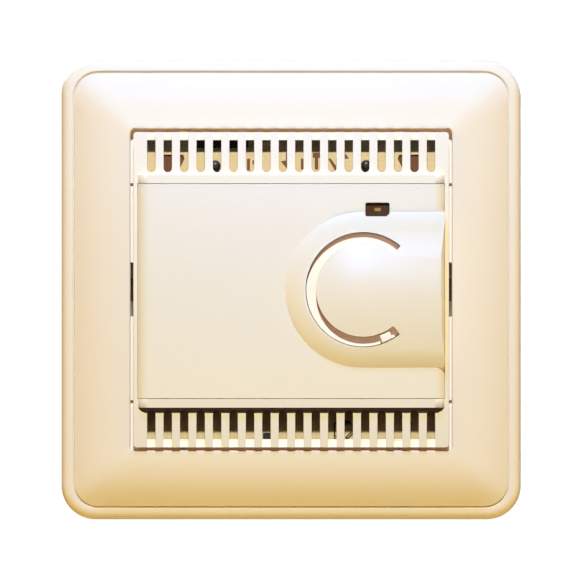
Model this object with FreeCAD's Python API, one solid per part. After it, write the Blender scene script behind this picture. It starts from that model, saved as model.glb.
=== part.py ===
import FreeCAD, Part
import os
from math import asin, cos, radians, sin, sqrt

# Flush wall thermostat with a vented centre cover and a setting dial.
# Millimetres. +Z is up, +X is right, and the front faces -Y.
# The origin is the middle of the thermostat on the wall plane, y = 0:
# the cover stands in front of it and the mechanism goes behind it, into the wall box.

V = FreeCAD.Vector

# cover frame
FRAME_HALF = 42.5
FRAME_CORNER = 6.3
RIM_FRONT = -6.1
RIM_ROUND = 1.9
GROOVE_OUTER = 40.45
PILLOW_HALF = 40.0
PILLOW_CORNER = 4.3
FRAME_FRONT = -9.6
OPENING_HALF = 29.6
OPENING_CORNER = 0.7
PILLOW_SLOPE = radians(36)
FRAME_WALL = 1.9
HOOK_X = 33.0
HOOK_SPACING = 24.0

# vented centre cover
COVER_HALF = 29.0
COVER_CORNER = 0.6
VENT_FACE = -10.2
COVER_BACK = -8.2
VENT_COUNT = 18
VENT_PITCH = 3.026
VENT_WIDTH = 1.56
VENT_TOP_ROUND_END = 21.6
VENT_LOW_ROUND_END = -22.2
END_BAR_DEPTH = 1.1
END_BAR_INNER = 27.55
LOW_BAR_EDGE_DEPTH = 0.5
LOW_BAR_SLOPE = 0.75
PIP_X = 19.9
PIP_RADIUS = 1.1
PIP_STANDS_OUT = 0.4
PIP_FRONT = -8.85
LEG_Z = 14.0
LEG_WIDTH = 6.0

# raised control panel between the cover's two lips
PANEL_FRONT = -11.1
PANEL_BACK = -9.25
PANEL_HALF_X = 28.2
PANEL_EDGE_ROUND = 1.8
LIP_TOP = 21.1
LIP_LOW = -21.67
SEAM_TOP = 19.5
SEAM_LOW = -20.0
SEAM_GAP = 0.1

# dome, slot and dial
DIAL_X = 13.2
DOME_RADIUS = 14.35
DOME_FRONT = -13.72
DOME_CURVE = 60.0
SKIRT_SLOPE = radians(38)
SLOT_OUTER = 10.57
SLOT_INNER = 8.62
SLOT_START = 49.5
SLOT_END = 309.7
DOME_SHELL_BACK = -12.2
DIAL_POCKET = 11.4
DIAL_RADIUS = 10.42
DIAL_FRONT = -11.9
DIAL_BACK = -10.5
DIAL_HUB_RADIUS = 5.0
DIAL_HUB_BACK = -7.9
TAB_ANGLE = 295.8
TAB_WIDTH_DEG = 12.4
TAB_INNER_CLEAR = 0.3
TAB_OUTER_CLEAR = 0.15
TAB_FRONT = -12.9

# indicator window
WINDOW_X = 15.85
WINDOW_Z = 14.74
WINDOW_WIDTH = 4.47
WINDOW_HEIGHT = 2.56
WINDOW_CORNER_CUT = 0.55

# carrier bezel behind the frame
BEZEL_FRONT = -7.6
BEZEL_FLANGE_BACK = -6.2
BEZEL_FLANGE_HALF = 31.5
BEZEL_WALL_OUTER = 30.0
BEZEL_WALL_INNER = 28.3
BEZEL_FLOOR_FRONT = -2.6
PLATE_FRONT = -1.0
NOTCH_HALF = 5.0
NOTCH_INNER = 25.9
NICK_TOP = 19.05
NICK_LOW = -20.95
NICK_HALF_WIDTH = 0.55

# support plate and box screws
PLATE_HALF = 35.5
BOX_SCREW_X = 30.0
BOX_SLOT_HALF_WIDTH = 2.1
BOX_SLOT_LENGTH = 9.0
BODY_HALF = 24.0
BODY_RADIUS = 28.3
BODY_WALL = 1.6
BODY_REAR = 28.0
REAR_WALL = 1.8
TIE_SCREW = 21.65
TIE_EAR_RADIUS = 3.0
TIE_HOLE_RADIUS = 1.35
TIE_SHAFT_RADIUS = 1.2

# boards
CONTROL_HALF = 27.9
CONTROL_FRONT = -7.0
CONTROL_BACK = -5.4
POWER_FRONT = 8.0
POWER_BACK = 9.6

# potentiometer
POT_SHAFT_RADIUS = 3.0
POT_BORE_CLEAR = 0.05
POT_RADIUS = 8.0
POT_REAR = 1.4

# relay
RELAY_X = (-14.5, 14.5)
RELAY_Z = (-7.0, 5.7)
RELAY_REAR = 25.3
RELAY_MID_Z = -0.65
COIL_X = 5.6
HINGE_X = 12.2
HINGE_Y = 20.8
CONTACT_X = -8.2

# terminals
TERMINAL_COUNT = 6
TERMINAL_PITCH = 5.0
TERMINAL_HALF = 15.5
TERMINAL_LOW = -20.4
TERMINAL_HEIGHT = 10.0
TERMINAL_SCREW_Y = 19.0
WIRE_Z = TERMINAL_LOW + 6.6
TAIL_Z = TERMINAL_LOW + 7.6
WIRE_RADIUS = 1.5
TERMINAL_SCREW_RADIUS = 1.15


def box(x, y, z):
    """A block between the two values given for each axis."""
    return Part.makeBox(x[1] - x[0], y[1] - y[0], z[1] - z[0], V(x[0], y[0], z[0]))


def rod(radius, start, end):
    """A round bar from one point to another."""
    line = end.sub(start)
    return Part.makeCylinder(radius, line.Length, start, line)


def rod_y(x, z, radius, y):
    return rod(radius, V(x, y[0], z), V(x, y[1], z))


def rounded_wire(half_x, half_z, corner, y):
    """A rectangle with rounded corners, facing the front at depth y."""
    edges = []
    for quarter in range(4):
        sign_x = (1, -1, -1, 1)[quarter]
        sign_z = (1, 1, -1, -1)[quarter]
        centre = V(sign_x * (half_x - corner), y, sign_z * (half_z - corner))
        corners = [corner_point(centre, corner, quarter * 90 + turn) for turn in (0, 45, 90)]
        edges.append((Part.Arc(*corners).toShape(), corners[0], corners[2]))
    wire_edges = []
    for quarter in range(4):
        arc, start, end = edges[quarter]
        next_start = edges[(quarter + 1) % 4][1]
        wire_edges.append(arc)
        wire_edges.append(Part.LineSegment(end, next_start).toShape())
    return Part.Wire(wire_edges)


def corner_point(centre, radius, angle):
    turn = radians(angle)
    return centre.add(V(radius * cos(turn), 0, radius * sin(turn)))


def rounded_block(half_x, half_z, corner, y, middle=(0, 0)):
    """A plate with rounded corners that fills the depths y."""
    face = Part.Face(rounded_wire(half_x, half_z, corner, y[0]))
    block = face.extrude(V(0, y[1] - y[0], 0))
    block.translate(V(middle[0], 0, middle[1]))
    return block


def polar(x, z, radius, angle, y):
    turn = radians(angle)
    return V(x + radius * cos(turn), y, z + radius * sin(turn))


def ring_sector(x, radii, angles, y):
    """Part of a flat ring about the axis through (x, 0), between two angles in degrees."""
    middle = sum(angles) / 2
    inner = [polar(x, 0, radii[0], angle, y[0]) for angle in (angles[0], middle, angles[1])]
    outer = [polar(x, 0, radii[1], angle, y[0]) for angle in (angles[0], middle, angles[1])]
    edges = [
        Part.Arc(*inner).toShape(),
        Part.LineSegment(inner[2], outer[2]).toShape(),
        Part.Arc(*reversed(outer)).toShape(),
        Part.LineSegment(outer[0], inner[0]).toShape(),
    ]
    return Part.Face(Part.Wire(edges)).extrude(V(0, y[1] - y[0], 0))


def save(name, shapes):
    """Writes one node, made of one solid or of several separate ones."""
    solids = shapes if isinstance(shapes, list) else [shapes]
    clean = [solid.removeSplitter() for solid in solids]
    shape = clean[0] if len(clean) == 1 else Part.makeCompound(clean)
    shape.exportStep(f"parts/{name}.step")


def fused(first, others):
    return first.multiFuse(others)


def without(first, others):
    return first.cut(Part.makeCompound(others))


# ---------------------------------------------------------------- cover frame

def pillow_depth(x, z):
    """How far forward the frame's face lies: flat at the opening, falling to the groove."""
    band = PILLOW_HALF - OPENING_HALF
    along_x = max(0.0, abs(x) - OPENING_HALF) / band
    along_z = max(0.0, abs(z) - OPENING_HALF) / band
    reach = (along_x ** 5 + along_z ** 5) ** 0.2
    curve = band / sin(PILLOW_SLOPE)
    return FRAME_FRONT + curve * (1 - sqrt(1 - (reach * sin(PILLOW_SLOPE)) ** 2))


def pillow_cutter():
    """Everything in front of the pillow-shaped face."""
    edge = PILLOW_HALF + 1.0
    spans = 41
    step = 2 * edge / spans
    places = [-edge + i * step for i in range(spans + 1)]
    rows = [[V(x, pillow_depth(x, z), z) for z in places] for x in places]
    surface = Part.BSplineSurface()
    surface.interpolate(rows)
    return surface.toShape().extrude(V(0, -12, 0))


def cover_frame():
    rim = rounded_block(FRAME_HALF, FRAME_HALF, FRAME_CORNER, (RIM_FRONT, 0))
    front_edges = [edge for edge in rim.Edges if abs(edge.BoundBox.YMax - RIM_FRONT) < 0.001]
    rim = rim.makeFillet(RIM_ROUND, front_edges)
    groove_corner = PILLOW_CORNER + GROOVE_OUTER - PILLOW_HALF
    groove_front = rounded_wire(GROOVE_OUTER, GROOVE_OUTER, groove_corner, RIM_FRONT)
    groove_back = rounded_wire(PILLOW_HALF, PILLOW_HALF, PILLOW_CORNER, RIM_FRONT + 0.4)
    rim = rim.cut(Part.makeLoft([groove_back, groove_front], True))
    cutter = pillow_cutter()
    pillow = rounded_block(PILLOW_HALF, PILLOW_HALF, PILLOW_CORNER, (FRAME_FRONT - 1, -0.01))
    solid = rim.fuse(pillow.cut(cutter))
    cavity_half = PILLOW_HALF - FRAME_WALL
    inner_face = cutter.copy()
    inner_face.translate(V(0, FRAME_WALL, 0))
    cavity_corner = PILLOW_CORNER - FRAME_WALL
    cavity = rounded_block(cavity_half, cavity_half, cavity_corner, (FRAME_FRONT, 1)).cut(inner_face)
    opening = rounded_block(OPENING_HALF, OPENING_HALF, OPENING_CORNER, (FRAME_FRONT - 2, 1))
    ease = 0.2
    wide = OPENING_HALF + 2 * ease
    flare = Part.makeLoft([
        rounded_wire(OPENING_HALF, OPENING_HALF, OPENING_CORNER, FRAME_FRONT + ease),
        rounded_wire(wide, wide, OPENING_CORNER + ease, FRAME_FRONT - ease),
    ], True)
    solid = without(solid, [cavity, opening, flare])
    hooks = []
    for side in (-1, 1):
        stem_x = sorted((side * (HOOK_X - 1.1), side * (HOOK_X + 0.9)))
        nose_x = sorted((side * (HOOK_X - 2.3), side * (HOOK_X + 0.9)))
        for z in (-HOOK_SPACING / 2, HOOK_SPACING / 2):
            span = (z - 2.5, z + 2.5)
            hooks.append(box(stem_x, (-8.6, -4.8), span).common(cavity))
            hooks.append(box(nose_x, (-5.9, -4.8), span))
    return fused(solid, hooks)


# --------------------------------------------------------- centre cover, panel

def panel_profile(back):
    """The panel's section across its width: flat front, with rounded ends."""
    drop = VENT_FACE - PANEL_FRONT
    half_turn = asin(drop / sqrt(drop ** 2 + PANEL_EDGE_ROUND ** 2))
    curve = PANEL_EDGE_ROUND / sin(2 * half_turn)
    flat = PANEL_HALF_X - PANEL_EDGE_ROUND
    middle = V(curve * sin(half_turn), curve * (1 - cos(half_turn)), 0)
    points = [
        V(flat, PANEL_FRONT, 0),
        V(flat + middle.x, PANEL_FRONT + middle.y, 0),
        V(PANEL_HALF_X, VENT_FACE, 0),
    ]
    mirrored = [V(-point.x, point.y, 0) for point in points]
    edges = [
        Part.Arc(*points).toShape(),
        Part.LineSegment(points[2], V(PANEL_HALF_X, back, 0)).toShape(),
        Part.LineSegment(V(PANEL_HALF_X, back, 0), V(-PANEL_HALF_X, back, 0)).toShape(),
        Part.LineSegment(V(-PANEL_HALF_X, back, 0), mirrored[2]).toShape(),
        Part.Arc(*reversed(mirrored)).toShape(),
        Part.LineSegment(mirrored[0], points[0]).toShape(),
    ]
    return Part.Face(Part.Wire(edges))


def panel_bar(z, back):
    face = panel_profile(back)
    face.translate(V(0, 0, z[0]))
    return face.extrude(V(0, 0, z[1] - z[0]))


def vent_cutters():
    """The slots of both rows, and the recess at each slot's outer end."""
    cutters = []
    radius = VENT_WIDTH / 2
    first = -(VENT_COUNT - 1) / 2 * VENT_PITCH
    for index in range(VENT_COUNT):
        x = first + index * VENT_PITCH
        sides = (x - radius, x + radius)
        top = VENT_TOP_ROUND_END + radius
        low = VENT_LOW_ROUND_END - radius
        for end, bar in ((top, END_BAR_INNER), (low, -END_BAR_INNER)):
            cutters.append(box(sides, (VENT_FACE - 1, COVER_BACK + 1), sorted((end, bar))))
            cutters.append(rod_y(x, end, radius, (VENT_FACE - 1, COVER_BACK + 1)))
        depth = (VENT_FACE - 1, VENT_FACE + END_BAR_DEPTH)
        cutters.append(box(sides, depth, (END_BAR_INNER, COVER_HALF + 1)))
        cutters.append(low_bar_recess(sides))
    return cutters


def low_bar_recess(x):
    """The recess at a lower slot's outer end, whose floor rises towards the edge of the cover."""
    outer = COVER_HALF + 1
    outer_depth = VENT_FACE + LOW_BAR_EDGE_DEPTH - LOW_BAR_SLOPE
    inner_depth = outer_depth + (outer - END_BAR_INNER) * LOW_BAR_SLOPE
    points = [
        V(x[0], VENT_FACE - 1, -outer),
        V(x[0], VENT_FACE - 1, -END_BAR_INNER),
        V(x[0], inner_depth, -END_BAR_INNER),
        V(x[0], outer_depth, -outer),
    ]
    return Part.Face(Part.makePolygon(points + points[:1])).extrude(V(x[1] - x[0], 0, 0))


def centre_cover():
    plate = rounded_block(COVER_HALF, COVER_HALF, COVER_CORNER, (VENT_FACE, COVER_BACK))
    lips = panel_bar((LIP_LOW, LIP_TOP), COVER_BACK)
    pocket_low = SEAM_LOW - SEAM_GAP / 2
    pocket_top = SEAM_TOP + SEAM_GAP / 2
    pocket_half = PANEL_HALF_X + 0.08
    pocket_depth = (PANEL_FRONT - 1, PANEL_BACK + 0.05)
    pocket = box((-pocket_half, pocket_half), pocket_depth, (pocket_low, pocket_top))
    window = box((-26.4, 26.4), (PANEL_FRONT, COVER_BACK + 1), (-18.4, 18.2))
    pips = []
    for x in (-PIP_X, PIP_X):
        for side in (-1, 1):
            z = side * (COVER_HALF + PIP_STANDS_OUT - PIP_RADIUS)
            disc = rod_y(x, z, PIP_RADIUS, (PIP_FRONT, COVER_BACK))
            reach = sorted((side * (END_BAR_INNER + 0.1), side * (COVER_HALF + 1)))
            pips.append(disc.common(box((x - 2, x + 2), (PIP_FRONT, COVER_BACK), reach)))
    legs = []
    for side in (-1, 1):
        for z in (-LEG_Z, LEG_Z):
            span = (z - LEG_WIDTH / 2, z + LEG_WIDTH / 2)
            legs.append(box(sorted((side * 26.9, side * 27.9)), (COVER_BACK - 0.3, -3.6), span))
            legs.append(box(sorted((side * 27.2, side * 28.7)), (-4.5, -3.6), span))
    solid = without(plate.fuse(lips), [pocket, window] + vent_cutters())
    return fused(solid, pips + legs)


def dome_face(sign):
    """Half of the dome's section beside its axis, on the +Z side or the -Z side."""
    first_turn = asin(SLOT_OUTER / DOME_CURVE)
    first_drop = DOME_CURVE * (1 - cos(first_turn))
    skirt_curve = (DOME_RADIUS - SLOT_OUTER) / (sin(SKIRT_SLOPE) - sin(first_turn))

    def on_crown(turn):
        return V(0, DOME_FRONT + DOME_CURVE * (1 - cos(turn)), sign * DOME_CURVE * sin(turn))

    def on_skirt(turn):
        run = SLOT_OUTER + skirt_curve * (sin(turn) - sin(first_turn))
        return V(0, DOME_FRONT + first_drop + skirt_curve * (cos(first_turn) - cos(turn)), sign * run)

    foot = V(0, PANEL_FRONT + 0.3, sign * DOME_RADIUS)
    inner_foot = V(0, PANEL_FRONT + 0.3, 0)
    skirt_end = on_skirt(SKIRT_SLOPE)
    edges = [
        Part.Arc(on_crown(0), on_crown(first_turn / 2), on_crown(first_turn)).toShape(),
        Part.Arc(on_skirt(first_turn), on_skirt((first_turn + SKIRT_SLOPE) / 2), skirt_end).toShape(),
        Part.LineSegment(skirt_end, foot).toShape(),
        Part.LineSegment(foot, inner_foot).toShape(),
        Part.LineSegment(inner_foot, on_crown(0)).toShape(),
    ]
    return Part.Face(Part.Wire(edges))


def dome():
    """A round dome whose profile runs on to the panel's right edge."""
    upper = dome_face(1)
    lower = dome_face(-1)
    axis_point = V(DIAL_X, 0, 0)
    for face in (upper, lower):
        face.translate(axis_point)
    round_part = upper.revolve(axis_point, V(0, 1, 0), 360)
    run = V(PANEL_HALF_X - DIAL_X, 0, 0)
    long_part = upper.extrude(run).fuse(lower.extrude(run))
    end_round = 1.8
    corner = (PANEL_HALF_X - end_round, PANEL_HALF_X + 1)
    trim = box(corner, (DOME_FRONT - 1, DOME_FRONT + end_round), (-20, 20))
    end_rod = rod(end_round, V(PANEL_HALF_X - end_round, DOME_FRONT + end_round, -20),
                  V(PANEL_HALF_X - end_round, DOME_FRONT + end_round, 20))
    return round_part.fuse(long_part).cut(trim.cut(end_rod))


def window_block(shrink, y):
    """The window's outline, with its lower right corner cut off at a slant."""
    half_x = WINDOW_WIDTH / 2 - shrink
    half_z = WINDOW_HEIGHT / 2 - shrink
    block = rounded_block(half_x, half_z, 0.35, y, (WINDOW_X, WINDOW_Z))
    corner = V(WINDOW_X + half_x, y[0], WINDOW_Z - half_z)
    cut = WINDOW_CORNER_CUT
    offsets = ((-cut, 0, 0), (1, 0, 1 + cut), (1, 0, -1), (-cut, 0, -1))
    outline = [corner.add(V(*offset)) for offset in offsets]
    wedge = Part.Face(Part.makePolygon(outline + outline[:1]))
    return block.cut(wedge.extrude(V(0, y[1] - y[0], 0)))


def control_panel():
    panel = panel_bar((SEAM_LOW + SEAM_GAP / 2, SEAM_TOP - SEAM_GAP / 2), PANEL_BACK)
    hollow = box((-25.6, 25.6), (PANEL_FRONT + 1.3, PANEL_BACK + 1), (-17.6, 17.4))
    behind_dome = rod_y(DIAL_X, 0, DIAL_POCKET, (DOME_SHELL_BACK, PANEL_BACK + 1))
    slot_depth = (DOME_FRONT - 1, PANEL_BACK)
    slot = ring_sector(DIAL_X, (SLOT_INNER, SLOT_OUTER), (SLOT_START, SLOT_END), slot_depth)
    wall_depth = (PANEL_FRONT + 0.5, PANEL_BACK)
    window_wall = rounded_block(3.4, 2.2, 0.4, wall_depth, (WINDOW_X, WINDOW_Z))
    solid = panel.fuse(dome()).cut(hollow).fuse(window_wall)
    return without(solid, [behind_dome, slot, window_block(0, (DOME_FRONT, PANEL_BACK + 1))])


def setting_dial():
    disc = rod_y(DIAL_X, 0, DIAL_RADIUS, (DIAL_FRONT, DIAL_BACK))
    hub = rod_y(DIAL_X, 0, DIAL_HUB_RADIUS, (DIAL_BACK, DIAL_HUB_BACK))
    angles = (TAB_ANGLE - TAB_WIDTH_DEG / 2, TAB_ANGLE + TAB_WIDTH_DEG / 2)
    radii = (SLOT_INNER + TAB_INNER_CLEAR, SLOT_OUTER - TAB_OUTER_CLEAR)
    tab = ring_sector(DIAL_X, radii, angles, (TAB_FRONT, DIAL_FRONT))
    front_edges = [edge for edge in tab.Edges if abs(edge.BoundBox.YMax - TAB_FRONT) < 0.001]
    tab = tab.makeFillet(0.25, front_edges)
    bore = shaft_end(POT_SHAFT_RADIUS + POT_BORE_CLEAR, (DIAL_BACK + 0.3, DIAL_HUB_BACK + 1))
    return fused(disc, [hub, tab]).cut(bore)


def indicator_lens():
    return window_block(0.08, (PANEL_FRONT + 0.55, -8.9))


def indicator_led():
    """A small clear lamp on a flat base."""
    base = rounded_block(1.6, 0.9, 0.1, (-7.5, CONTROL_FRONT), (WINDOW_X, WINDOW_Z))
    lamp = rounded_block(0.9, 0.6, 0.2, (-8.3, -7.5), (WINDOW_X, WINDOW_Z))
    return base.fuse(lamp)


# ------------------------------------------------------------ carrier and plate

def inner_opening(y, shrink=0.0):
    """The body's outline: a square whose corners are cut off by a circle."""
    half = BODY_HALF - shrink
    square = box((-half, half), y, (-half, half))
    return square.common(rod_y(0, 0, BODY_RADIUS - shrink, y))


def tie_points():
    return [(x, z) for x in (-TIE_SCREW, TIE_SCREW) for z in (-TIE_SCREW, TIE_SCREW)]


def carrier_bezel():
    flange = rounded_block(BEZEL_FLANGE_HALF, BEZEL_FLANGE_HALF, 1.2, (BEZEL_FRONT, BEZEL_FLANGE_BACK))
    wall = rounded_block(BEZEL_WALL_OUTER, BEZEL_WALL_OUTER, 1.0, (BEZEL_FLANGE_BACK, PLATE_FRONT))
    well = rounded_block(BEZEL_WALL_INNER, BEZEL_WALL_INNER, 0.6, (BEZEL_FRONT - 1, BEZEL_FLOOR_FRONT))
    cuts = [well, inner_opening((BEZEL_FLOOR_FRONT - 1, 0), 1.6)]
    for side in (-1, 1):
        reach = sorted((side * NOTCH_INNER, side * (BEZEL_FLANGE_HALF + 1)))
        cuts.append(box(reach, (BEZEL_FRONT - 1, 0), (-NOTCH_HALF, NOTCH_HALF)))
        nick = sorted((side * 28, side * 30.6))
        for z in (NICK_LOW, NICK_TOP):
            depth = (BEZEL_FRONT - 1, BEZEL_FRONT + 0.5)
            cuts.append(box(nick, depth, (z - NICK_HALF_WIDTH, z + NICK_HALF_WIDTH)))
        for z in (-LEG_Z, LEG_Z):
            span = (z - LEG_WIDTH / 2 - 0.4, z + LEG_WIDTH / 2 + 0.4)
            cuts.append(box(sorted((side * 28, side * 30.5)), (-4.7, -3.2), span))
    shell = without(flange.fuse(wall), cuts)
    post_depth = (CONTROL_BACK, BEZEL_FLOOR_FRONT + 0.5)
    posts = [rod_y(x, z, 2.5, post_depth) for x, z in tie_points()]
    posts += [rod_y(x, z, 1.9, post_depth) for x, z in board_screw_points()]
    pilots = [rod_y(x, z, TIE_SHAFT_RADIUS + 0.05, (-4.9, 1)) for x, z in tie_points()]
    pilots += [rod_y(x, z, 0.85, (-8, -3.4)) for x, z in board_screw_points()]
    return without(fused(shell, posts), pilots)


def board_screw_points():
    return [(-25.4, 9.5), (25.4, -9.5)]


def support_plate():
    plate = rounded_block(PLATE_HALF, PLATE_HALF, 3.0, (PLATE_FRONT, 0))
    cuts = [inner_opening((PLATE_FRONT - 1, 1), 1.6)]
    cuts += [rod_y(x, z, TIE_HOLE_RADIUS, (PLATE_FRONT - 1, 1)) for x, z in tie_points()]
    run = BOX_SLOT_LENGTH / 2 - BOX_SLOT_HALF_WIDTH
    for side in (-1, 1):
        middle = side * BOX_SCREW_X
        width = (-BOX_SLOT_HALF_WIDTH, BOX_SLOT_HALF_WIDTH)
        cuts.append(box((middle - run, middle + run), (PLATE_FRONT - 1, 1), width))
        for end in (-run, run):
            cuts.append(rod_y(middle + end, 0, BOX_SLOT_HALF_WIDTH, (PLATE_FRONT - 1, 1)))
    return without(plate, cuts)


def rear_housing():
    outer = inner_opening((0, BODY_REAR))
    rear_inside = BODY_REAR - REAR_WALL
    front_well = inner_opening((-1, POWER_BACK), BODY_WALL)
    rear_well = inner_opening((POWER_BACK - 1, rear_inside), BODY_WALL + 1.0)
    ears = [rod_y(x, z, TIE_EAR_RADIUS, (0, 1.8)) for x, z in tie_points()]
    holes = [rod_y(x, z, TIE_HOLE_RADIUS, (-1, 3)) for x, z in tie_points()]
    for x in terminal_places():
        holes.append(rod_y(x, WIRE_Z, WIRE_RADIUS + 0.5, (rear_inside - 1, BODY_REAR + 1)))
        below = V(x, TERMINAL_SCREW_Y, -BODY_HALF - 1)
        holes.append(rod(1.9, below, below.add(V(0, 0, 4))))
    for index in range(7):
        x = (index - 3) * 5.0
        holes.append(box((x - 0.8, x + 0.8), (12, 24), (BODY_HALF - 3, BODY_HALF + 1)))
    return without(fused(outer, ears), [front_well, rear_well] + holes)


def screw(x, z, shaft_radius, head_radius, head, tip, cross):
    """A pan-head screw along Y: head holds its two depths, tip is the shaft's far end."""
    shaft_start = head[1] if tip > head[1] else head[0]
    body = rod_y(x, z, head_radius, head).fuse(rod_y(x, z, shaft_radius, sorted((shaft_start, tip))))
    outside = head[0] if tip > head[1] else head[1]
    inward = 0.7 if tip > head[1] else -0.7
    depth = sorted((outside - inward, outside + inward))
    slots = [
        box((x - cross, x + cross), depth, (z - 0.25, z + 0.25)),
        box((x - 0.25, x + 0.25), depth, (z - cross, z + cross)),
    ]
    return without(body, slots)


def housing_screws():
    return [screw(x, z, TIE_SHAFT_RADIUS, 2.1, (1.8, 3.3), -4.4, 1.3) for x, z in tie_points()]


def board_screws():
    head = (CONTROL_FRONT - 1.0, CONTROL_FRONT)
    return [screw(x, z, 0.8, 1.6, head, -3.7, 1.0) for x, z in board_screw_points()]


# ------------------------------------------------------------------ front board

def corner_pocket(side, y):
    """A five-sided bare patch, sunk into the board's face in front of an upper tie screw."""
    offsets = ((-2.0, 2.55), (-1.7, 3.25), (2.55, 3.3), (2.55, -1.45), (-0.05, -1.45))
    points = [V(side * (TIE_SCREW + x), y[0], TIE_SCREW + z) for x, z in offsets]
    return Part.Face(Part.makePolygon(points + points[:1])).extrude(V(0, y[1] - y[0], 0))


def control_board():
    board = rounded_block(CONTROL_HALF, CONTROL_HALF, 0.5, (CONTROL_FRONT, CONTROL_BACK))
    through = (CONTROL_FRONT - 1, CONTROL_BACK + 1)
    cuts = [rod_y(DIAL_X, 0, POT_SHAFT_RADIUS + 0.6, through)]
    cuts += [rod_y(x, z, 1.0, through) for x, z in board_screw_points()]
    for side in (-1, 1):
        reach = sorted((side * 26.0, side * 29))
        cuts.append(box(reach, through, (-NOTCH_HALF, NOTCH_HALF)))
        for z in (-LEG_Z, LEG_Z):
            span = (z - LEG_WIDTH / 2 - 0.4, z + LEG_WIDTH / 2 + 0.4)
            cuts.append(box(sorted((side * 26.5, side * 29)), through, span))
    cuts += header_holes(through)
    cuts += [corner_pocket(side, (CONTROL_FRONT - 1, CONTROL_FRONT + 0.3)) for side in (-1, 1)]
    return without(board, cuts)


def small_board_parts():
    """Low parts on the board's face: two round beads, a strip and a chip behind the vents."""
    front_side = box((-30, 30), (CONTROL_FRONT - 2, CONTROL_FRONT), (-30, 30))
    parts = [Part.makeSphere(1.0, V(x, CONTROL_FRONT, z)).common(front_side)
             for x, z in ((-14.0, 22.9), (13.85, 22.95))]
    low = (CONTROL_FRONT - 0.5, CONTROL_FRONT)
    parts.append(rounded_block(0.9, 0.75, 0.2, low, (-4.3, -27.15)))
    parts.append(rounded_block(4.8, 0.85, 0.2, low, (-12.7, 27.0)))
    return parts


def control_chip():
    body = rounded_block(2.6, 3.6, 0.2, (CONTROL_FRONT - 1.5, CONTROL_FRONT - 0.1), (-8, 3))
    pins = []
    for side in (-1, 1):
        for index in range(5):
            z = 3 + (index - 2) * 1.27
            reach = sorted((-8 + side * 2.4, -8 + side * 3.4))
            pins.append(box(reach, (CONTROL_FRONT - 0.3, CONTROL_FRONT), (z - 0.2, z + 0.2)))
    return fused(body, pins)


def room_sensor():
    """A thermistor bead on two thin leads that stand on the board, close to the lower vents."""
    depth = CONTROL_FRONT - 0.5
    middle = V(10.1, depth, -24.6)
    bead = rod(0.42, middle.sub(V(0.8, 0, 0)), middle.add(V(0.8, 0, 0)))
    left_run = [middle, V(8.0, depth, -24.6), V(8.0, depth, -26.9), V(9.2, depth, -27.3)]
    right_run = [middle, V(12.3, depth, -25.0), V(10.2, depth, -27.2)]
    leads = []
    for run in (left_run, right_run):
        for start, end in zip(run, run[1:]):
            overlap = end.sub(start).normalize() * 0.08
            leads.append(rod(0.12, start.sub(overlap), end.add(overlap)))
        leads.append(rod_y(run[-1].x, run[-1].z, 0.17, (depth - 0.2, CONTROL_FRONT)))
    return fused(bead, leads)


def shaft_end(radius, y):
    """A round shaft with one flat, so that the dial can't slip on it."""
    flat = box((DIAL_X - 5, DIAL_X + 5), (y[0] - 1, y[1] + 1), (radius * 0.55, 6))
    return rod_y(DIAL_X, 0, radius, y).cut(flat)


def potentiometer_body():
    case = rod_y(DIAL_X, 0, POT_RADIUS, (CONTROL_BACK, POT_REAR))
    chamber = rod_y(DIAL_X, 0, POT_RADIUS - 1.0, (CONTROL_BACK + 1.6, POT_REAR - 1.2))
    bore = rod_y(DIAL_X, 0, POT_SHAFT_RADIUS + POT_BORE_CLEAR, (CONTROL_BACK - 1, POT_REAR - 2))
    feet = box((DIAL_X - 4, DIAL_X + 4), (CONTROL_BACK, CONTROL_BACK + 3), (-10.5, -6))
    return without(case.fuse(feet), [chamber, bore])


def potentiometer_rotor():
    end = shaft_end(POT_SHAFT_RADIUS, (DIAL_BACK + 0.5, CONTROL_FRONT - 0.3))
    shaft = rod_y(DIAL_X, 0, POT_SHAFT_RADIUS, (CONTROL_FRONT - 0.3, CONTROL_BACK + 2.0))
    disc = rod_y(DIAL_X, 0, POT_RADIUS - 1.5, (CONTROL_BACK + 2.0, CONTROL_BACK + 3.2))
    wiper = box((DIAL_X + 3.6, DIAL_X + 5.6), (CONTROL_BACK + 3.2, CONTROL_BACK + 3.9), (-0.8, 0.8))
    return fused(end, [shaft, disc, wiper])


def potentiometer_track():
    return ring_sector(DIAL_X, (3.2, 6.4), (-140, 140), (CONTROL_BACK + 4.2, CONTROL_BACK + 5.55))


def header_places():
    return [(-20.5 + 2.54 * row, (index - 2.5) * 2.54) for row in range(2) for index in range(6)]


def header_holes(y):
    return [rod_y(x, z, 0.5, y) for x, z in header_places()]


def header_pins():
    reach = (CONTROL_FRONT - 0.8, POWER_BACK + 0.8)
    return [box((x - 0.3, x + 0.3), reach, (z - 0.3, z + 0.3)) for x, z in header_places()]


def header_body():
    block = box((-22.0, -16.5), (CONTROL_BACK, CONTROL_BACK + 2.4), (-7.8, 7.8))
    return without(block, header_holes((CONTROL_BACK - 1, CONTROL_BACK + 4)))


# ------------------------------------------------------------------- rear board

def power_board():
    board = inner_opening((POWER_FRONT, POWER_BACK), BODY_WALL + 0.2)
    holes = header_holes((POWER_FRONT - 1, POWER_BACK + 1))
    holes += [rod_y(x, TAIL_Z, 0.7, (POWER_FRONT - 1, POWER_BACK + 1)) for x in terminal_places()]
    return without(board, holes)


def relay_base():
    return box(RELAY_X, (POWER_BACK, POWER_BACK + 1.4), RELAY_Z)


def relay_case():
    wall = 0.8
    front = POWER_BACK + 1.4
    outer = box(RELAY_X, (front, RELAY_REAR), RELAY_Z)
    inside_x = (RELAY_X[0] + wall, RELAY_X[1] - wall)
    inside_z = (RELAY_Z[0] + wall, RELAY_Z[1] - wall)
    inner = box(inside_x, (front - 1, RELAY_REAR - wall), inside_z)
    return outer.cut(inner)


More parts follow.
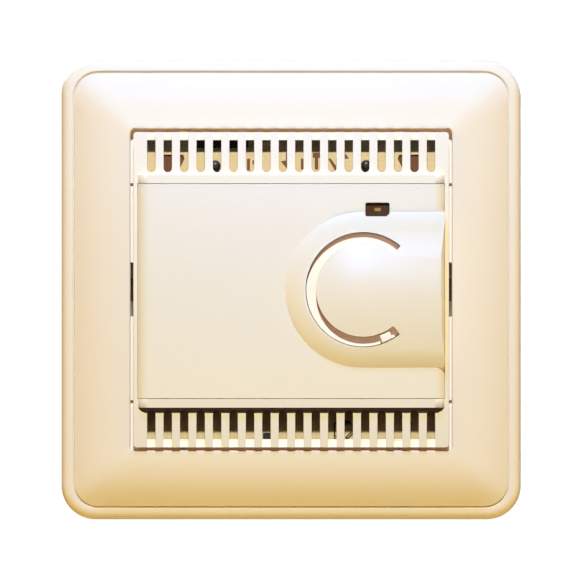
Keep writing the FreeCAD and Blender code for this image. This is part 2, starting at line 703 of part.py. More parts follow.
def relay_core():
    """The iron circuit: a foot plate, the round core and the upright yoke."""
    width = (RELAY_MID_Z - 4, RELAY_MID_Z + 4)
    foot = box((COIL_X - 4, HINGE_X + 0.4), (11.0, 12.0), width)
    core = rod_y(COIL_X, RELAY_MID_Z, 1.9, (12.0, 20.2))
    yoke = box((HINGE_X - 0.6, HINGE_X + 0.4), (11.0, HINGE_Y - 0.2), width)
    return fused(foot, [core, yoke])


def relay_bobbin():
    low = rod_y(COIL_X, RELAY_MID_Z, 4.8, (12.1, 12.9))
    high = rod_y(COIL_X, RELAY_MID_Z, 4.8, (18.9, 19.7))
    tube = rod_y(COIL_X, RELAY_MID_Z, 2.6, (12.9, 18.9))
    return fused(tube, [low, high]).cut(rod_y(COIL_X, RELAY_MID_Z, 2.0, (11, 21)))


def relay_coil():
    return rod_y(COIL_X, RELAY_MID_Z, 4.5, (13.0, 18.8)).cut(rod_y(COIL_X, RELAY_MID_Z, 2.7, (12, 20)))


def relay_armature():
    width = (RELAY_MID_Z - 3.6, RELAY_MID_Z + 3.6)
    return box((COIL_X - 4.5, HINGE_X), (HINGE_Y, HINGE_Y + 1.0), width)


def relay_moving_contact():
    """A springy blade on the armature, with the contact rivet at its free end."""
    width = (RELAY_MID_Z - 1.8, RELAY_MID_Z + 1.8)
    blade = box((CONTACT_X - 1.6, COIL_X + 2), (HINGE_Y + 1.0, HINGE_Y + 1.3), width)
    rivet = rod_y(CONTACT_X, RELAY_MID_Z, 1.3, (HINGE_Y + 0.3, HINGE_Y + 1.9))
    return blade.fuse(rivet)


def relay_fixed_contact():
    width = (RELAY_MID_Z - 1.8, RELAY_MID_Z + 1.8)
    post = box((CONTACT_X - 1.5, CONTACT_X + 1.5), (11.0, 11.8), width)
    blade = box((CONTACT_X - 2.3, CONTACT_X - 1.5), (11.0, 19.4), width)
    shelf = box((CONTACT_X - 2.3, CONTACT_X + 1.5), (18.6, 19.4), width)
    rivet = rod_y(CONTACT_X, RELAY_MID_Z, 1.3, (19.4, HINGE_Y - 0.9))
    return fused(post, [blade, shelf, rivet])


def dropper_capacitor():
    body = rounded_block(6.5, 3.0, 0.5, (POWER_BACK + 0.2, 21.5), (-11.5, 12.6))
    legs = [rod_y(-11.5 + side * 5, 12.6, 0.35, (POWER_BACK, POWER_BACK + 0.2)) for side in (-1, 1)]
    return fused(body, legs)


def filter_capacitor():
    can = rod_y(1.6, 13.2, 4.0, (POWER_BACK + 0.1, 21.6))
    waist = rod_y(1.6, 13.2, 5.0, (11.4, 11.9)).cut(rod_y(1.6, 13.2, 3.7, (11, 12.2)))
    return can.cut(waist)


def varistor():
    disc = rod(4.6, V(13.2, 14.8, 11.4), V(13.2, 14.8, 14.4))
    legs = [rod_y(13.2 + side * 2.5, 12.9, 0.35, (POWER_BACK, 12)) for side in (-1, 1)]
    return fused(disc, legs)


def axial_part(x, z, half_length, radius):
    """A small round part lying along X, with a lead bent down at each end."""
    depth = POWER_BACK + radius + 0.1
    reach = half_length + 1.6
    body = rod(radius, V(x - half_length, depth, z), V(x + half_length, depth, z))
    lead = rod(0.3, V(x - reach, depth, z), V(x + reach, depth, z))
    legs = [rod_y(x + side * reach, z, 0.3, (POWER_BACK, depth)) for side in (-1, 1)]
    elbows = [Part.makeSphere(0.3, V(x + side * reach, depth, z)) for side in (-1, 1)]
    return fused(body, [lead] + legs + elbows)


def rectifier_diodes():
    return [axial_part(x, z, 1.6, 0.9) for x in (1.0, 8.6) for z in (18.2, 20.2)]


def series_resistor():
    return axial_part(-9.6, 18.4, 4.0, 1.6)


# -------------------------------------------------------------------- terminals

def terminal_places():
    return [(index - (TERMINAL_COUNT - 1) / 2) * TERMINAL_PITCH for index in range(TERMINAL_COUNT)]


def terminal_block():
    top = TERMINAL_LOW + TERMINAL_HEIGHT
    depth = (POWER_BACK, BODY_REAR - REAR_WALL)
    block = box((-TERMINAL_HALF, TERMINAL_HALF), depth, (TERMINAL_LOW, top))
    cuts = []
    for x in terminal_places():
        cuts.append(box((x - 2.05, x + 2.05), (14.9, 24.1), (TERMINAL_LOW + 3.3, TERMINAL_LOW + 8.9)))
        cuts.append(rod_y(x, WIRE_Z, WIRE_RADIUS + 0.2, (23, BODY_REAR)))
        below = V(x, TERMINAL_SCREW_Y, TERMINAL_LOW - 1)
        cuts.append(rod(1.8, below, below.add(V(0, 0, 5))))
        cuts.append(box((x - 0.5, x + 0.5), (POWER_BACK - 1, 15), (TAIL_Z - 0.5, TAIL_Z + 0.5)))
    return without(block, cuts)


def terminal_clamps():
    clamps = []
    for x in terminal_places():
        cage = box((x - 1.95, x + 1.95), (15, 24), (TERMINAL_LOW + 3.4, TERMINAL_LOW + 8.8))
        tail = box((x - 0.4, x + 0.4), (POWER_FRONT - 0.8, 15), (TAIL_Z - 0.4, TAIL_Z + 0.4))
        wire = rod_y(x, WIRE_Z, WIRE_RADIUS, (16, 25))
        below = V(x, TERMINAL_SCREW_Y, TERMINAL_LOW + 3)
        thread = rod(TERMINAL_SCREW_RADIUS + 0.05, below, V(x, TERMINAL_SCREW_Y, WIRE_Z))
        clamps.append(without(cage.fuse(tail), [wire, thread]))
    return clamps


def terminal_screws():
    screws = []
    for x in terminal_places():
        head_start = V(x, TERMINAL_SCREW_Y, TERMINAL_LOW + 0.3)
        head_end = V(x, TERMINAL_SCREW_Y, TERMINAL_LOW + 1.9)
        tip = V(x, TERMINAL_SCREW_Y, TERMINAL_LOW + 4.9)
        body = rod(1.6, head_start, head_end).fuse(rod(TERMINAL_SCREW_RADIUS, head_end, tip))
        slot_y = (TERMINAL_SCREW_Y - 0.25, TERMINAL_SCREW_Y + 0.25)
        slot = box((x - 2, x + 2), slot_y, (TERMINAL_LOW, TERMINAL_LOW + 0.9))
        screws.append(body.cut(slot))
    return screws


NODES = [
    cover_frame, centre_cover, control_panel, setting_dial, indicator_lens, indicator_led,
    carrier_bezel, support_plate, rear_housing, housing_screws, board_screws,
    control_board, small_board_parts, control_chip, room_sensor,
    potentiometer_body, potentiometer_rotor, potentiometer_track, header_pins, header_body,
    power_board, relay_base, relay_case, relay_core, relay_bobbin, relay_coil,
    relay_armature, relay_moving_contact, relay_fixed_contact,
    dropper_capacitor, filter_capacitor, varistor, rectifier_diodes, series_resistor,
    terminal_block, terminal_clamps, terminal_screws,
]

os.makedirs("parts", exist_ok=True)
for make_node in NODES:
    save(make_node.__name__, make_node())
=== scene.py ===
import math

import bmesh
import bpy
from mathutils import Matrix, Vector


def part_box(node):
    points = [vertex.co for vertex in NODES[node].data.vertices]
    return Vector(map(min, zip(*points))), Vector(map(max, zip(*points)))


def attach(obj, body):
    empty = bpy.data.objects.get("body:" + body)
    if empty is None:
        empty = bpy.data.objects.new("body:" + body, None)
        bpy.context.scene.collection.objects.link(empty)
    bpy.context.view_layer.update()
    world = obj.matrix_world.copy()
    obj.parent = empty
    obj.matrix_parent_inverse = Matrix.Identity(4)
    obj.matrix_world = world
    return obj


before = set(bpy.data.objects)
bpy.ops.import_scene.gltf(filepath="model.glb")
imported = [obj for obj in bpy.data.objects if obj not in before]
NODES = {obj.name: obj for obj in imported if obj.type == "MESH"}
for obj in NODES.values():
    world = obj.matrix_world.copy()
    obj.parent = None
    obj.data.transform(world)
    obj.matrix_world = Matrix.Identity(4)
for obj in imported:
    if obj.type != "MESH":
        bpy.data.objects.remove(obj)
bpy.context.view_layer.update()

MM = 0.001

FRAME_LOW, FRAME_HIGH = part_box("cover_frame")
FRAME_WIDTH = FRAME_HIGH.x - FRAME_LOW.x
BOARD_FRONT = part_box("control_board")[0].y / MM

# The frame's share of the picture's width, and the camera's shift, also as shares of that width.
FRAME_SHARE = 0.79275
SHIFT_X, SHIFT_Y = -0.00285, 0.000345

# Ivory plastic of the frame, the centre cover and the panel.
IVORY = (0.82, 0.73, 0.56)
# Solder mask on the control board, the laminate under it, and the leads of the parts.
MASK, MASK_TRACKS = (0.70, 0.58, 0.33), (0.67, 0.55, 0.30)
FIBRES_DARK, FIBRES_LIGHT = (0.13, 0.055, 0.03), (0.17, 0.075, 0.042)
TIN = (0.62, 0.61, 0.58)
BLACK = (0.02, 0.02, 0.022)

# Bare patches on the control board: left, right, low and top edges in millimetres.
BARE_BARS = (
    (-8.15, -7.6, 22.0, 24.2), (-7.15, -6.85, 23.1, 23.9), (-0.95, -0.7, 23.9, 25.3),
    (1.8, 2.35, 22.2, 24.2), (4.0, 5.4, 24.35, 25.3), (4.35, 5.0, 22.2, 24.35), (8.3, 8.5, 23.0, 24.3),
)
BARE_WEDGES = (
    [(-1.9, 23.7), (-0.75, 23.9), (-0.75, 22.3)],
    [(6.8, 24.2), (7.3, 24.2), (8.5, 22.6), (8.5, 22.0), (8.1, 22.0)],
    [(9.9, 25.3), (9.9, 24.2), (10.7, 24.2)],
)

# Thickness of the board's mask, and how far an added piece stands out of the face behind it and sinks in.
MASK_DEPTH = 0.1
RAISED, SUNK = 0.03, 0.02

# Half of the lamp's bright square, and how far it sits right of the window's middle, in millimetres.
LAMP_HALF_X, LAMP_HALF_Z, LAMP_OFFSET = 0.58, 0.3, 0.05

# The plate's screw slots, and the gaps before and behind the painted-shade cards in them, in millimetres.
SLOT_NEAR, SLOT_FAR, SLOT_HALF, SLOT_CORNER = 25.48, 34.52, 2.12, 2.1
CARD_FRONT_GAP, CARD_REAR_GAP = 0.4, 0.3

# Parts with tinned legs: the middle of the body along an axis, and half its length, in millimetres.
CHIP_BODY, VARISTOR_BODY, RESISTOR_BODY = (-8, 2.62), (16.8, 5.6), (-9.6, 4.02)

# Edge rounding of the moulded front parts, in millimetres.
EDGE_WIDTH = 0.12


# --------------------------------------------------------------------- camera

def add_camera():
    """Straight in front of the thermostat, far enough away for hardly any perspective."""
    distance, rim_depth = 0.9, 4 * MM
    view_width = FRAME_WIDTH / FRAME_SHARE
    camera_data = bpy.data.cameras.new("camera")
    camera_data.sensor_width = 36
    camera_data.lens = camera_data.sensor_width * (distance - rim_depth) / view_width
    camera_data.shift_x = SHIFT_X
    camera_data.shift_y = SHIFT_Y
    camera_data.clip_end = 20
    camera = bpy.data.objects.new("camera", camera_data)
    camera.location = (0, -distance, 0)
    camera.rotation_euler = (math.radians(90), 0, 0)
    bpy.context.scene.collection.objects.link(camera)
    bpy.context.scene.camera = camera


# ------------------------------------------------------------------ materials

class Shader:
    """A node-based material with short calls for the nodes it is built from."""

    def __init__(self, name):
        self.material = bpy.data.materials.new(name)
        self.material.use_nodes = True
        self.nodes = self.material.node_tree.nodes
        self.links = self.material.node_tree.links
        self.nodes.clear()
        output = self.nodes.new("ShaderNodeOutputMaterial")
        self.principled = self.nodes.new("ShaderNodeBsdfPrincipled")
        self.links.new(self.principled.outputs[0], output.inputs["Surface"])
        self.place = self.nodes.new("ShaderNodeTexCoord").outputs["Object"]
        self.normal = None

    def set(self, **values):
        for key, value in values.items():
            self.principled.inputs[key.replace("_", " ")].default_value = value

    def mapped(self, stretch):
        mapping = self.nodes.new("ShaderNodeMapping")
        mapping.inputs["Scale"].default_value = stretch
        self.links.new(self.place, mapping.inputs["Vector"])
        return mapping.outputs[0]

    def noise(self, scale, detail=3.0, stretch=None):
        node = self.nodes.new("ShaderNodeTexNoise")
        node.inputs["Scale"].default_value = scale
        node.inputs["Detail"].default_value = detail
        self.links.new(self.mapped(stretch) if stretch else self.place, node.inputs["Vector"])
        return node.outputs["Fac"]

    def cells(self, scale, output="Color", feature="F1"):
        node = self.nodes.new("ShaderNodeTexVoronoi")
        node.feature = feature
        node.inputs["Scale"].default_value = scale
        self.links.new(self.place, node.inputs["Vector"])
        return node.outputs[output]

    def waves(self, scale, direction):
        node = self.nodes.new("ShaderNodeTexWave")
        node.wave_type = "BANDS"
        node.bands_direction = direction
        node.inputs["Scale"].default_value = scale
        node.inputs["Distortion"].default_value = 0.0
        self.links.new(self.place, node.inputs["Vector"])
        return node.outputs["Fac"]

    def axis(self, letter):
        node = self.nodes.new("ShaderNodeSeparateXYZ")
        self.links.new(self.place, node.inputs[0])
        return node.outputs[letter]

    def math(self, operation, first, second=None):
        node = self.nodes.new("ShaderNodeMath")
        node.operation = operation
        for socket, value in zip(node.inputs, (first, second)):
            if isinstance(value, (int, float)):
                socket.default_value = value
            elif value is not None:
                self.links.new(value, socket)
        return node.outputs[0]

    def ramp(self, factor, low, high, start=0.3, end=0.7):
        node = self.nodes.new("ShaderNodeValToRGB")
        first, last = node.color_ramp.elements
        first.position, last.position = start, end
        first.color, last.color = (*low, 1), (*high, 1)
        self.links.new(factor, node.inputs["Fac"])
        return node.outputs["Color"]

    def mix(self, factor, first, second):
        node = self.nodes.new("ShaderNodeMix")
        node.data_type = "RGBA"
        self.links.new(factor, node.inputs["Factor"])
        for socket, value in ((node.inputs["A"], first), (node.inputs["B"], second)):
            if isinstance(value, tuple):
                socket.default_value = (*value, 1)
            else:
                self.links.new(value, socket)
        return node.outputs["Result"]

    def spread(self, factor, low, high, start=0.3, end=0.7):
        node = self.nodes.new("ShaderNodeMapRange")
        node.inputs["From Min"].default_value = start
        node.inputs["From Max"].default_value = end
        node.inputs["To Min"].default_value = low
        node.inputs["To Max"].default_value = high
        self.links.new(factor, node.inputs["Value"])
        return node.outputs["Result"]

    def colour(self, output):
        self.links.new(output, self.principled.inputs["Base Color"])

    def roughness(self, output):
        self.links.new(output, self.principled.inputs["Roughness"])

    def metallic(self, output):
        self.links.new(output, self.principled.inputs["Metallic"])

    def bump(self, height, strength, distance):
        node = self.nodes.new("ShaderNodeBump")
        node.inputs["Strength"].default_value = strength
        node.inputs["Distance"].default_value = distance
        self.links.new(height, node.inputs["Height"])
        if self.normal:
            self.links.new(self.normal, node.inputs["Normal"])
        self.normal = node.outputs["Normal"]
        self.links.new(self.normal, self.principled.inputs["Normal"])


def tones(colour, amount):
    """A darker and a lighter tone of a colour."""
    low = tuple(channel * (1 - amount) for channel in colour)
    high = tuple(min(1, channel * (1 + amount)) for channel in colour)
    return low, high


def moulded(name, colour, rough=(0.25, 0.34), grain=0.02, variation=0.015):
    """Injection-moulded plastic: slight flow tones, uneven gloss and a very fine skin."""
    shader = Shader(name)
    shader.colour(shader.ramp(shader.noise(45, 4.0), *tones(colour, variation)))
    shader.roughness(shader.spread(shader.noise(260, 5.0), *rough))
    shader.bump(shader.noise(5200, 2.0), grain, 0.00002)
    shader.set(IOR=1.5)
    return shader


def plain_floor():
    """Matt, pale and almost even."""
    shader = Shader("pale_floor")
    shader.colour(shader.ramp(shader.noise(3, 2.0), (0.84, 0.83, 0.81), (0.88, 0.87, 0.85)))
    shader.set(Roughness=0.8)
    return shader.material


def metal(name, colour, rough, stretch):
    """Drawn or turned metal with its grain stretched along one or two axes."""
    shader = Shader(name)
    grain = shader.noise(900, 3.0, stretch)
    shader.colour(shader.ramp(grain, *tones(colour, 0.08)))
    shader.roughness(shader.spread(grain, rough * 0.75, rough * 1.3))
    shader.bump(grain, 0.08, 0.00003)
    shader.set(Metallic=1.0)
    return shader


def galvanised(name, colour, rough):
    """Zinc-plated sheet: crystals a few millimetres across, each with its own tone and gloss."""
    shader = Shader(name)
    crystals = shader.cells(420)
    shader.colour(shader.ramp(crystals, *tones(colour, 0.05), 0.1, 0.9))
    shader.roughness(shader.spread(crystals, rough * 0.92, rough * 1.1, 0, 1))
    shader.bump(shader.noise(2400, 3.0, (1, 1, 12)), 0.05, 0.00002)
    shader.set(Metallic=1.0)
    return shader


def laminate(name, colour, trace, trace_scale):
    """A circuit board: a woven core under glossy solder mask, with faintly raised tracks."""
    shader = Shader(name)
    weave = shader.math("MULTIPLY", shader.waves(330, "X"), shader.waves(330, "Z"))
    mask = shader.ramp(weave, *tones(colour, 0.05), 0.0, 1.0)
    gaps = shader.cells(trace_scale, "Distance", "DISTANCE_TO_EDGE")
    tracks = shader.spread(gaps, 1.0, 0.0, 0.05, 0.07)
    shader.colour(shader.mix(tracks, mask, trace))
    shader.roughness(shader.spread(shader.noise(300, 4.0), 0.28, 0.42))
    shader.bump(tracks, 0.3, 0.00003)
    shader.bump(weave, 0.08, 0.00002)
    return shader


def bare_backed(shader):
    """Leaves the laminate brown everywhere but on its masked front face."""
    bare = shader.math("GREATER_THAN", shader.axis("Y"), (BOARD_FRONT + MASK_DEPTH) * MM)
    mask = shader.principled.inputs["Base Color"].links[0].from_socket
    fibres = shader.ramp(shader.noise(900, 4.0, (1, 1, 6)), FIBRES_DARK, FIBRES_LIGHT)
    shader.colour(shader.mix(bare, mask, fibres))
    return shader


def wound(name, colour, pitch_mm):
    """Enamelled wire wound along Y, one turn every pitch."""
    shader = Shader(name)
    turns = shader.waves(math.pi / (10 * pitch_mm * MM), "Y")
    # The colour follows the turns too: painted shade in the grooves between turns and a painted highlight
    # on their crowns.
    shader.colour(shader.ramp(turns, *tones(colour, 0.35), 0.0, 1.0))
    shader.roughness(shader.spread(shader.noise(700), 0.22, 0.4))
    shader.bump(turns, 0.6, 0.00008)
    shader.set(Metallic=0.9, Coat_Weight=0.6, Coat_Roughness=0.1)
    return shader


def tinned_legs(shader, axis, middle, half):
    """Turns everything further than half from middle along the axis, in millimetres, into tinned metal."""
    rough = 0.25
    away = shader.math("ABSOLUTE", shader.math("SUBTRACT", shader.axis(axis), middle * MM))
    legs = shader.math("GREATER_THAN", away, half * MM)
    shader.metallic(legs)
    body = shader.principled.inputs["Base Color"].links[0].from_socket
    shader.colour(shader.mix(legs, body, TIN))
    gloss = shader.principled.inputs["Roughness"].links[0].from_socket
    shader.roughness(shader.mix(legs, gloss, (rough, rough, rough)))
    return shader


def smoked_lens():
    """A tinted clear window with a polished face."""
    shader = Shader("lens_smoked")
    shader.colour(shader.ramp(shader.noise(300, 3.0), (0.14, 0.075, 0.045), (0.17, 0.095, 0.055)))
    shader.roughness(shader.spread(shader.noise(500, 3.0), 0.03, 0.07))
    shader.bump(shader.noise(900, 2.0), 0.02, 0.00002)
    shader.set(Transmission_Weight=0.55, IOR=1.49)
    return shader


# --------------------------------------------------------------------- pieces

def add_object(name, mesh, material):
    thing = bpy.data.objects.new(name, mesh)
    bpy.context.scene.collection.objects.link(thing)
    mesh.materials.append(material)
    return thing


def add_piece(name, mesh, shader):
    """A piece that stays on the thermostat's own body."""
    piece = add_object(name, mesh, shader.material)
    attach(piece, "thermostat")


def slab_mesh(name, outlines, front, back, round_off=0.0):
    """Flat shapes in the XZ plane, given as outlines in millimetres, with a chamfered front rim."""
    mesh = bpy.data.meshes.new(name)
    shape = bmesh.new()
    for outline in outlines:
        middle = sum((Vector(point) for point in outline), Vector((0, 0))) / len(outline)
        rings = []
        for depth, inset in ((back, 0.0), (front + round_off, 0.0), (front, round_off)):
            ring = []
            for point in outline:
                arm = Vector(point) - middle
                place = middle + arm * (1 - inset / max(arm.length, 0.001))
                ring.append(shape.verts.new((place.x * MM, depth * MM, place.y * MM)))
            rings.append(ring)
        count = len(outline)
        for near, far in zip(rings, rings[1:]):
            for index in range(count):
                after = (index + 1) % count
                shape.faces.new((near[index], near[after], far[after], far[index]))
        shape.faces.new(rings[-1])
        shape.faces.new(tuple(reversed(rings[0])))
    bmesh.ops.recalc_face_normals(shape, faces=shape.faces)
    shape.to_mesh(mesh)
    shape.free()
    return mesh


def box_outline(x, z, corner=0.08, steps=3):
    """A rectangle with rounded corners."""
    points = []
    for centre_x, centre_z, start in (
        (x[1] - corner, z[1] - corner, 0), (x[0] + corner, z[1] - corner, 90),
        (x[0] + corner, z[0] + corner, 180), (x[1] - corner, z[0] + corner, 270),
    ):
        for step in range(steps + 1):
            turn = math.radians(start + 90 * step / steps)
            points.append((centre_x + corner * math.cos(turn), centre_z + corner * math.sin(turn)))
    return points


def add_board_marks():
    """Bare patches in the board's mask behind the upper vents, in plain shapes."""
    brown = moulded("bare_laminate", (0.17, 0.075, 0.04), (0.4, 0.5), 0.1, 0.12)
    outlines = [box_outline((left, right), (low, top)) for left, right, low, top in BARE_BARS]
    outlines.extend(BARE_WEDGES)
    marks = slab_mesh("board_marks", outlines, BOARD_FRONT - RAISED, BOARD_FRONT + SUNK, 0.01)
    add_piece("board_marks", marks, brown)


def add_lamp_face():
    """The lamp's bright square, seen in the middle of the dark window."""
    low, high = (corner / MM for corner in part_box("indicator_lens"))
    x, z = (low.x + high.x) / 2 + LAMP_OFFSET, (low.z + high.z) / 2
    gold = moulded("lamp_gold", (0.30, 0.19, 0.08), (0.2, 0.3), 0.2, 0.3)
    square = box_outline((x - LAMP_HALF_X, x + LAMP_HALF_X), (z - LAMP_HALF_Z, z + LAMP_HALF_Z), 0.06)
    face = slab_mesh("lamp_face", [square], low.y - RAISED, low.y + SUNK, 0.02)
    add_piece("lamp_face", face, gold)


def add_slot_shade_cards():
    """Dark cards in the plate's two screw slots: painted shade that keeps the bright backdrop from showing
    through.
    """
    low, high = (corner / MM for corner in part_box("support_plate"))
    # The cards' dark brown is painted shade, the colour of the plate in shadow.
    dark = moulded("slot_painted_shade", (0.20, 0.12, 0.09), (0.7, 0.8))
    for side, name in ((-1, "slot_card_left"), (1, "slot_card_right")):
        x = sorted((side * SLOT_NEAR, side * SLOT_FAR))
        outline = box_outline(x, (-SLOT_HALF, SLOT_HALF), SLOT_CORNER, 8)
        mesh = slab_mesh(name, [outline], low.y + CARD_FRONT_GAP, high.y - CARD_REAR_GAP)
        card = add_object(name, mesh, dark.material)


def dress_nodes():
    """Gives every CAD node its own material."""
    looks = {
        "cover_frame": moulded("frame_ivory", IVORY, (0.28, 0.32), 0.01, 0.006),
        "centre_cover": moulded("cover_ivory", IVORY, (0.28, 0.32), 0.01, 0.006),
        "control_panel": moulded("panel_ivory", IVORY, (0.28, 0.32), 0.01, 0.006),
        "setting_dial": moulded("dial_cream", (0.90, 0.89, 0.87), (0.35, 0.45)),
        "indicator_lens": smoked_lens(),
        "indicator_led": moulded("lamp_amber", (0.16, 0.08, 0.04), (0.1, 0.2)),
        "carrier_bezel": moulded("carrier_plastic", (0.88, 0.87, 0.84), (0.4, 0.5), 0.06),
        "control_board": bare_backed(laminate("board_cream", MASK, MASK_TRACKS, 330)),
        "power_board": laminate("board_green", (0.02, 0.16, 0.06), (0.05, 0.26, 0.10), 260),
        "support_plate": galvanised("plate_zinc", (0.58, 0.52, 0.43), 0.4),
        "rear_housing": moulded("housing_grey", (0.66, 0.65, 0.60), (0.45, 0.6), 0.15, 0.03),
        "housing_screws": metal("screw_zinc", (0.62, 0.60, 0.55), 0.3, (12, 1, 12)),
        "board_screws": metal("board_screw_zinc", (0.62, 0.60, 0.55), 0.3, (12, 1, 12)),
        "small_board_parts": moulded("parts_black", BLACK, (0.35, 0.5), 0.1, 0.2),
        "control_chip": tinned_legs(
            moulded("chip_black", BLACK, (0.4, 0.5), 0.15, 0.2), "X", *CHIP_BODY),
        "room_sensor": moulded("bead_brown", (0.03, 0.014, 0.008), (0.1, 0.2)),
        "potentiometer_body": moulded("pot_case", (0.03, 0.03, 0.035), (0.4, 0.5), 0.1, 0.15),
        "potentiometer_rotor": moulded("pot_nylon", (0.74, 0.72, 0.66), (0.4, 0.5)),
        "potentiometer_track": moulded("track_carbon", (0.015, 0.015, 0.016), (0.3, 0.6), 0.2, 0.3),
        "header_pins": metal("pins_tin", (0.72, 0.70, 0.64), 0.22, (1, 20, 1)),
        "header_body": moulded("header_black", BLACK, (0.4, 0.5), 0.08, 0.2),
        "relay_base": moulded("relay_base_black", BLACK, (0.4, 0.5), 0.08, 0.2),
        "relay_case": moulded("relay_blue", (0.03, 0.14, 0.42), (0.22, 0.32), 0.05, 0.05),
        "relay_core": metal("core_nickel", (0.52, 0.50, 0.47), 0.35, (1, 14, 1)),
        "relay_bobbin": moulded("bobbin_white", (0.72, 0.70, 0.62), (0.4, 0.5)),
        "relay_coil": wound("coil_copper", (0.70, 0.28, 0.10), 0.2),
        "relay_armature": metal("armature_nickel", (0.55, 0.53, 0.50), 0.3, (14, 1, 1)),
        "relay_moving_contact": metal("blade_bronze", (0.72, 0.40, 0.18), 0.25, (14, 1, 1)),
        "relay_fixed_contact": metal("contact_bronze", (0.72, 0.40, 0.18), 0.3, (1, 14, 1)),
        "dropper_capacitor": moulded("film_yellow", (0.72, 0.46, 0.05), (0.25, 0.4), 0.08, 0.06),
        "filter_capacitor": moulded("sleeve_dark", (0.02, 0.025, 0.06), (0.2, 0.35), 0.05, 0.2),
        "varistor": tinned_legs(
            moulded("dip_blue", (0.03, 0.10, 0.38), (0.15, 0.3), 0.1, 0.08), "Z", *VARISTOR_BODY),
        "rectifier_diodes": moulded("diode_black", BLACK, (0.3, 0.4), 0.08, 0.2),
        "series_resistor": tinned_legs(
            moulded("dip_teal", (0.20, 0.38, 0.40), (0.3, 0.4), 0.1), "X", *RESISTOR_BODY),
        "terminal_block": moulded("terminal_green", (0.05, 0.20, 0.08), (0.35, 0.45), 0.08, 0.06),
        "terminal_clamps": metal("clamp_brass", (0.78, 0.52, 0.20), 0.28, (1, 10, 1)),
        "terminal_screws": metal("terminal_zinc", (0.62, 0.60, 0.55), 0.3, (12, 12, 1)),
    }
    for name, node in NODES.items():
        for slot in range(len(node.material_slots)):
            node.material_slots[slot].material = looks[name].material


def soften(names, width_mm):
    """Takes the sharpness off a node's edges, as moulding and pressing do."""
    for name in names:
        weld = NODES[name].modifiers.new("weld", "WELD")
        weld.merge_threshold = 0.001 * MM
        flat = NODES[name].modifiers.new("flat", "DECIMATE")
        flat.decimate_type = "DISSOLVE"
        flat.angle_limit = math.radians(0.5)
        edges = NODES[name].modifiers.new("edges", "BEVEL")
        edges.width = width_mm * MM
        edges.segments = 2
        edges.limit_method = "ANGLE"
        edges.angle_limit = math.radians(38)
        edges.harden_normals = True
        shade = NODES[name].modifiers.new("shade", "WEIGHTED_NORMAL")
        shade.keep_sharp = True
        shade.weight = 100


# ---------------------------------------------------------------------- stage

def add_light(name, azimuth, elevation, distance, size, strength, only=(), reach="both"):
    """A round soft light aimed at the origin. Azimuth runs from the front towards +X.

    Strength is the brightness of a white matt surface at the origin that faces the light.
    With only, the light reaches just the objects of those names. A reach of "matt" lights their
    diffuse colour alone, and "shine" shows only in their gloss.
    """
    data = bpy.data.lights.new(name, "AREA")
    data.shape = "DISK"
    data.size = size
    data.energy = (math.pi * distance) ** 2 * max(strength)
    data.color = [channel / max(strength) for channel in strength]
    turn, rise = math.radians(azimuth), math.radians(elevation)
    out = math.cos(rise)
    away = Vector((math.sin(turn) * out, -math.cos(turn) * out, math.sin(rise)))
    light = bpy.data.objects.new(name, data)
    light.location = away * distance
    light.rotation_euler = away.to_track_quat("Z", "Y").to_euler()
    light.visible_glossy = reach != "matt"
    light.visible_diffuse = reach != "shine"
    bpy.context.scene.collection.objects.link(light)
    if only:
        lit = bpy.data.collections.new(name + "_lit")
        for lit_name in only:
            lit.objects.link(bpy.data.objects[lit_name])
        light.light_linking.receiver_collection = lit
    return data


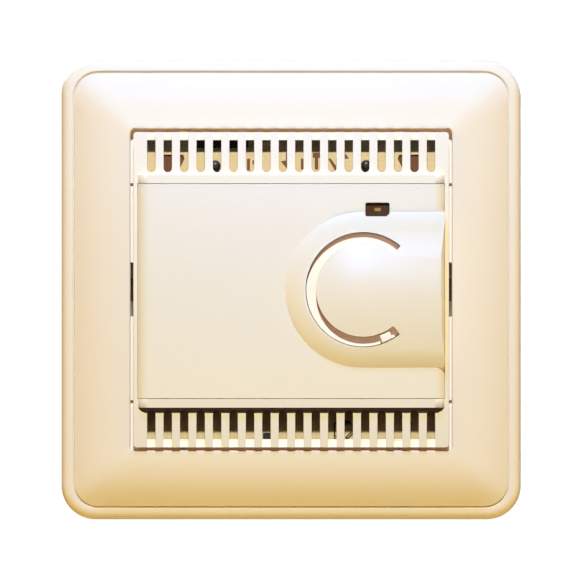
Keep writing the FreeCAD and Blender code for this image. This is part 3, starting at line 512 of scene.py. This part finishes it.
def add_lights():
    """Keys from above with cooler lights near the top, fill from below and the sides, and two behind.

    The frame, panel and cover each have their own set, and what stands behind them shares one key.
    """
    rim, panel, cover = ["cover_frame"], ["control_panel"], ["centre_cover"]
    shaded = ["setting_dial", "support_plate", "carrier_bezel", "slot_card_left", "slot_card_right"]
    apart = rim + panel + cover + ["floor"]
    meshes = [thing.name for thing in bpy.data.objects if thing.type == "MESH"]
    inside = [name for name in meshes if name not in apart]
    add_light("key_frame", 0, 47, 0.8, 0.045, (0.80, 0.88, 0.92), rim, "matt")
    add_light("sky_frame", 0, 60, 0.25, 0.02, (0.21, 0.34, 0.83), rim, "matt")
    add_light("low_frame", 0, -60, 0.6, 0.05, (0.62, 0.47, 0.18), rim, "matt")
    add_light("left_frame", -75, 0, 0.6, 0.05, (0.32, 0.19, 0.001), rim, "matt")
    add_light("right_frame", 75, 0, 0.6, 0.05, (0.35, 0.24, 0.07), rim, "matt")
    add_light("shine_frame", 0, 12, 0.8, 0.1, (0.02, 0.07, 0.11), rim, "shine")
    add_light("key_panel", 0, 47, 0.8, 0.045, (0.90, 0.97, 0.91), panel, "matt")
    add_light("sky_panel", 0, 60, 0.13, 0.02, (0.15, 0.28, 0.79), panel, "matt")
    add_light("low_panel", 0, -60, 0.3, 0.05, (0.66, 0.53, 0.26), panel, "matt")
    add_light("left_panel", -85, 0, 0.6, 0.05, (0.30, 0.19, 0.04), panel, "matt")
    add_light("right_panel", 85, 0, 0.6, 0.05, (0.36, 0.25, 0.08), panel, "matt")
    add_light("shine_panel", 0, 12, 0.8, 0.1, (0.10, 0.16, 0.35), panel, "shine")
    add_light("key_cover", 0, 47, 0.8, 0.045, (1.60, 1.49, 1.15), cover, "matt")
    add_light("sky_cover", 0, 60, 0.13, 0.02, (0.001, 0.24, 0.95), cover, "matt")
    add_light("fill_shaded", 0, 0, 1.0, 0.1, (0.20, 0.08, 0.035), shaded, "matt")
    key_inside = add_light("key_inside", 0, 47, 0.8, 0.045, (1.48, 1.39, 1.26), inside)
    key_inside.cycles.max_bounces = 1
    add_light("floor_light", 0, 88, 1.6, 1.2, (1.5, 1.48, 1.44), ["floor"])
    add_light("rear_left", -140, 35, 0.7, 0.3, (0.75, 0.72, 0.66))
    add_light("rear_right", 150, 20, 0.7, 0.3, (0.42, 0.44, 0.46))


def add_floor():
    """A pale floor below that neither lights nor shades the thermostat."""
    mesh = bpy.data.meshes.new("floor")
    half, height = 1.2, -0.34
    corners = [(-half, -half), (half, -half), (half, half), (-half, half)]
    mesh.from_pydata([(x, y, height) for x, y in corners], [], [(0, 1, 2, 3)])
    floor = add_object("floor", mesh, plain_floor())
    floor.visible_diffuse = False
    floor.visible_glossy = False
    floor.visible_shadow = False


def add_backdrop():
    """A white backdrop that hardly lights anything: dim warm light, dim gloss, and white to the camera."""
    world = bpy.data.worlds.new("sky")
    bpy.context.scene.world = world
    world.use_nodes = True
    nodes, links = world.node_tree.nodes, world.node_tree.links
    nodes.clear()
    output = nodes.new("ShaderNodeOutputWorld")
    path = nodes.new("ShaderNodeLightPath")
    light, gloss, backdrop = (0.036, 0.016, 0.014), (0.10, 0.065, 0.045), (1.05, 1.05, 1.05)
    skies = []
    for colour in (light, gloss, backdrop):
        sky = nodes.new("ShaderNodeBackground")
        sky.inputs["Color"].default_value = (*colour, 1)
        skies.append(sky.outputs[0])
    shown = skies[0]
    for ray, sky in (("Is Glossy Ray", skies[1]), ("Is Camera Ray", skies[2])):
        choose = nodes.new("ShaderNodeMixShader")
        links.new(path.outputs[ray], choose.inputs["Fac"])
        links.new(shown, choose.inputs[1])
        links.new(sky, choose.inputs[2])
        shown = choose.outputs[0]
    links.new(shown, output.inputs["Surface"])

    view = bpy.context.scene.view_settings
    view.view_transform = "Standard"
    view.look = "None"


add_camera()
dress_nodes()
add_board_marks()
add_lamp_face()
add_slot_shade_cards()
add_floor()
add_backdrop()
add_lights()
soften(["centre_cover", "control_panel", "carrier_bezel"], EDGE_WIDTH)
